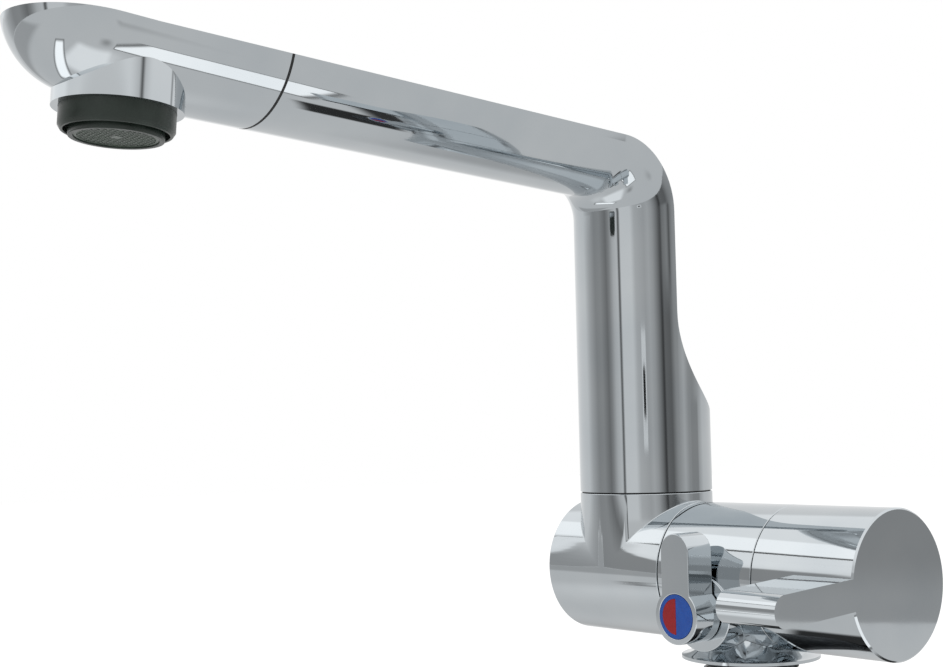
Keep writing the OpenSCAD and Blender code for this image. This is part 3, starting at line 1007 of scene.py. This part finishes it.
@dataclass
class Cyclorama(Card):
    """A backdrop that runs right round the tap, painted in upright bands.

    Each band is a direction in degrees and its tone. The backdrop fades out below its top edge.
    """

    bands: Sequence[tuple[float, float]]
    radius: float = 1.6
    middle: tuple[float, float] = (-0.041, 0.0)
    top: float = 0.41
    fade: float = 0.07
    segments: int = 180

    def paint(
        self, tree: bpy.types.NodeTree, where: Sequence[bpy.types.NodeSocket]
    ) -> tuple[Feed, bpy.types.NodeSocket]:
        """Add the bands, whose tone runs smoothly from each to the next, and fade out the top.

        Args:
            tree: The tree that the nodes go in.
            where: X, Y and Z on the backdrop.

        Returns:
            The bands' tone, and a mask that is 0 over the top edge.
        """
        across, forward, up = where
        turn = maths(tree, "ARCTAN2", forward, across)
        feeds = {"Value": turn, "From Min": -math.pi, "From Max": math.pi}
        along = add_node(tree, "ShaderNodeMapRange", feeds).outputs["Result"]
        ramp = add_node(tree, "ShaderNodeValToRGB", {"Fac": along})
        stops = ramp.color_ramp.elements
        there = len(stops)
        for k, (azimuth, tone) in enumerate(self.bands):
            position = (azimuth + 180.0) / 360.0
            stop = stops[k] if k < there else stops.new(position)
            stop.position = position
            stop.color = (tone, tone, tone, 1.0)
        return ramp.outputs["Color"], smooth_edge(tree, up, self.top, self.top - self.fade)

    def build(self) -> bpy.types.Object:
        """Stand the backdrop up on the floor.

        Returns:
            The backdrop.
        """
        bm = bmesh.new()
        tall = self.top - FLOOR_Z
        bmesh.ops.create_cone(
            bm, cap_ends=False, segments=self.segments, radius1=self.radius,
            radius2=self.radius, depth=tall,
            matrix=Matrix.Translation((0.0, 0.0, FLOOR_Z + tall / 2)),
        )
        return self.hang(bm, Matrix.Translation((*self.middle, 0.0)))


@dataclass
class Lamp:
    """A soft rectangular lamp that points at the tap. The polished metal doesn't mirror it."""

    name: str
    at: tuple[float, float, float]
    size: tuple[float, float]
    watts: float

    def build(self) -> bpy.types.Object:
        """Hang the lamp.

        Returns:
            The lamp.
        """
        data = bpy.data.lights.new(self.name, "AREA")
        data.shape = "RECTANGLE"
        data.size, data.size_y = self.size
        data.energy = self.watts
        lamp = bpy.data.objects.new(self.name, data)
        bpy.context.scene.collection.objects.link(lamp)
        lamp.visible_glossy = False
        turn = (Vector(self.at) - TAP_CENTRE).to_track_quat("Z", "Y").to_matrix().to_4x4()
        lamp.matrix_world = Matrix.Translation(self.at) @ turn
        return lamp


@dataclass
class Studio:
    """White surround, pale floor, soft lamps, cards and the camera.

    The world lights the tap at the ambient level, and the floor glows by floor_lift where it is
    seen. The camera's place, angles and focal length are fitted to the photograph's outline.
    """

    lamps: Sequence[Lamp]
    cards: Sequence[Card]
    ambient: float = 0.6
    floor_half: float = 6.0
    floor_colour: str = "#e4e4e4"
    floor_lift: float = 0.62
    camera_mm: tuple[float, float, float] = (308.859, -361.486, 69.824)
    yaw_deg: float = 140.34
    pitch_deg: float = 3.46
    roll_deg: float = -1.24
    focal_px: float = 1554.985
    sensor_mm: float = 36.0
    clip: tuple[float, float] = (0.01, 50.0)

    @staticmethod
    def seen_white(tree: bpy.types.NodeTree) -> bpy.types.NodeSocket:
        """Give 1 for rays from the camera, from metal and through glass, and 0 for the rest."""
        path = add_node(tree, "ShaderNodeLightPath").outputs
        metal = maths(tree, "MAXIMUM", path["Is Camera Ray"], path["Is Glossy Ray"])
        return maths(tree, "MAXIMUM", metal, path["Is Transmission Ray"])

    def surround(self) -> None:
        """Set the world: white where it is seen, and a plain level where it lights."""
        world = bpy.data.worlds.new("white_surround")
        bpy.context.scene.world = world
        world.use_nodes = True
        tree = world.node_tree
        tree.nodes.clear()
        feeds = {"Value": self.seen_white(tree), "To Min": self.ambient, "To Max": 1.0}
        level = add_node(tree, "ShaderNodeMapRange", feeds).outputs["Result"]
        back = add_node(tree, "ShaderNodeBackground", {"Color": WHITE, "Strength": level})
        add_node(tree, "ShaderNodeOutputWorld", {"Surface": back.outputs[0]})

    def floor(self) -> bpy.types.Object:
        """Lay the pale floor, which looks white and keeps the tap's shadow.

        Returns:
            The floor.
        """
        bm = bmesh.new()
        place = Matrix.Translation((0.0, 0.0, FLOOR_Z))
        bmesh.ops.create_grid(
            bm, x_segments=1, y_segments=1, size=self.floor_half, matrix=place
        )
        made = blank_material("pale_studio_floor")
        tree = made.node_tree
        matt = add_node(tree, "ShaderNodeBsdfDiffuse", {"Color": linear(self.floor_colour)})
        lift = maths(tree, "MULTIPLY", self.seen_white(tree), self.floor_lift)
        glow = add_node(tree, "ShaderNodeEmission", {"Color": WHITE, "Strength": lift})
        both = add_node(tree, "ShaderNodeAddShader", {0: matt.outputs[0], 1: glow.outputs[0]})
        add_node(tree, "ShaderNodeOutputMaterial", {"Surface": both.outputs[0]})
        floor = add_object(bm, "studio_floor", made)
        return floor

    def camera(self) -> bpy.types.Object:
        """Set the camera at the photograph's angle.

        Returns:
            The camera.
        """
        angles = (self.yaw_deg, self.pitch_deg, self.roll_deg)
        yaw, pitch, roll = (math.radians(angle) for angle in angles)
        ahead = bearing(yaw, pitch)
        level = Vector((math.sin(yaw), -math.cos(yaw), 0.0))
        above = level.cross(ahead)
        right = level * math.cos(roll) + above * math.sin(roll)
        up = above * math.cos(roll) - level * math.sin(roll)
        data = bpy.data.cameras.new("photo_camera")
        data.sensor_fit = "HORIZONTAL"
        data.sensor_width = self.sensor_mm
        data.lens = self.focal_px * self.sensor_mm / PHOTO_WIDTH
        data.clip_start, data.clip_end = self.clip
        camera = bpy.data.objects.new("photo_camera", data)
        bpy.context.scene.collection.objects.link(camera)
        turn = Matrix((right, up, -ahead)).transposed().to_4x4()
        camera.matrix_world = Matrix.Translation(Vector(self.camera_mm) * MM) @ turn
        bpy.context.scene.camera = camera
        return camera

    def build(self) -> None:
        """Set up the whole studio."""
        self.camera()
        self.surround()
        self.floor()
        for item in (*self.lamps, *self.cards):
            item.build()
        bpy.context.scene.view_settings.view_transform = "Standard"


LAMPS = [
    Lamp("overhead_softbox", (-0.05, -0.1, 1.1), (1.1, 0.8), 3.6),
    Lamp("side_softbox", (-0.9, -0.9, 0.75), (0.6, 0.6), 1.6),
]

BANDS = (
    (-180, 0.88), (-160, 0.85), (-148, 0.6), (-132, 0.38), (-120, 0.4), (-107, 0.24), (-101, 0.36),
    (-93, 0.66), (-85, 0.78), (-83, 0.18), (-81, 0.2), (-79, 0.88), (-61, 0.88), (-54, 0.64),
    (-38, 0.54), (-31, 0.6), (-24, 0.5), (-14, 0.22), (-9, 0.05), (-6, 0.2), (4, 0.17),
    (12, 0.38), (27, 0.6), (36, 0.42), (46, 0.38), (60, 0.52), (72, 0.74), (120, 0.8),
    (165, 0.9), (180, 0.88),
)

# A Sheet is given by name, tone, feather, size, place, layer and turn; a Drape by name, tone,
# feather, azimuths, elevations and distance.
CARDS = [
    Sheet("white_ceiling_silk", 1.2, (0.1, 0.1), (5.2, 5.2), ground=CEILING_Z),
    Sheet("grey_floor_mat", 0.76, (0.2, 0.2), (5.0, 5.0), layer=6),
    Sheet("grey_floor_cloth", 0.76, (0.2, 0.2), (5.0, 5.0), layer=6, ground=FLOOR_Z),
    Sheet("grey_mat_far_left", 0.53, (0.15, 0.15), (1.1, 1.1), (-0.78, -0.72), 9, 43.0),
    Sheet("grey_mat_right", 0.6, (0.5, 0.5), (0.3, 0.14), (0.45, 0.0), 9),
    Sheet("bright_patch_front", 1.2, (0.22, 0.2), (0.22, 0.24), (-0.01, -0.21), 12),
    Sheet("dark_rim_right", 0.3, (0.05, 0.05), (0.112, 0.112), (0.1225, -0.04), 14, 26.6),
    Sheet("bright_patch_right", 1.5, (0.05, 0.05), (0.1, 0.1), (0.1225, -0.04), 15, 26.6),
    Sheet("dark_rim_left", 0.3, (0.05, 0.12), (0.336, 0.078), (-0.1, -0.3), 17, -45.0),
    Sheet("bright_strip_left", 1.65, (0.12, 0.2), (0.32, 0.065), (-0.1, -0.3), 18, -45.0),
    Sheet("dark_patch_front", 0.45, (0.5, 0.5), (0.1, 0.12), (0.14, -0.155), 18),
    # Painted shadow: these two near-black sheets at the tap's foot stand in for the tap's own
    # shadow on the worktop. The glowing mats, seen only in the metal, take no shadow.
    Sheet("painted_shadow_patch_middle", 0.05, (0.2, 0.2), (0.085, 0.07), (0.04, 0.036), 21),
    Sheet("painted_shadow_patch_base", 0.04, (0.15, 0.15), (0.06, 0.056), (0.0, -0.004), 24),
    Drape("grey_wall_back", 0.92, (0.08, 0.1), (110, 170), (-12, 44), 1.5),
    Drape("grey_drape_above", 0.85, (0.05, 0.3), (-118, 0), (6, 24), 1.75),
    Drape("dark_drape_near", 0.36, (0.15, 0.06), (44.5, 63), (-14, 1), 0.69),
    Drape("pale_skirting_near", 0.46, (0.15, 0.35), (44.5, 63), (-15.5, -8.0), 0.68),
    Drape("dark_tripod_head", 0.02, (0.06, 0.06), (-44.6, -40.2), (-0.6, 1.7), 1.51),
    Drape("pale_tripod_hood", 0.95, (0.12, 0.08), (-46.6, -38.2), (-2.1, 3.5), 1.53),
    Sheet("grey_mat_behind", 0.55, (0.4, 0.4), (0.26, 0.2), (-0.11, 0.1), 13),
    Sheet("pale_mat_left", 0.92, (0.5, 0.5), (0.2, 0.18), (-0.14, -0.11), 10),
    Drape("pale_silk_left", 1.22, (0.25, 0.45), (-178, -118), (6, 31), 1.56),
    Drape("white_silk_left", 1.5, (0.15, 0.12), (-172, -112), (30.5, 46), 1.55),
    Drape("dark_cord_above", 0.2, (0.35, 0.25), (-156, -112), (28.8, 31.2), 1.5),
    Drape("grey_cord_behind", 0.5, (0.8, 0.15), (-14, 30), (4, 24), 1.5),
    Drape("dark_cord_behind", 0.12, (0.6, 0.15), (3, 15), (4, 24), 1.48),
    Drape("dark_cord_right", 0.35, (0.6, 0.15), (70, 80), (5, 24), 1.48),
    Cyclorama("banded_backdrop", 1.0, BANDS),
]


def main() -> None:
    """Dress every sub-assembly in turn and set up the studio."""
    logging.basicConfig(level=logging.INFO, format="%(name)s: %(message)s")
    groups: list[SubAssembly] = [
        CentreBody("base"),
        WorktopFixing("base"),
        FoldingKnee("knee"),
        Spout("spout"),
        Aerator("spout"),
        LeverKnob("lever"),
        Selector("selector"),
    ]
    for group in groups:
        log.info("%s", type(group).__name__)
        group.build()
    Studio(LAMPS, CARDS).build()


if __name__ == "__main__":
    main()
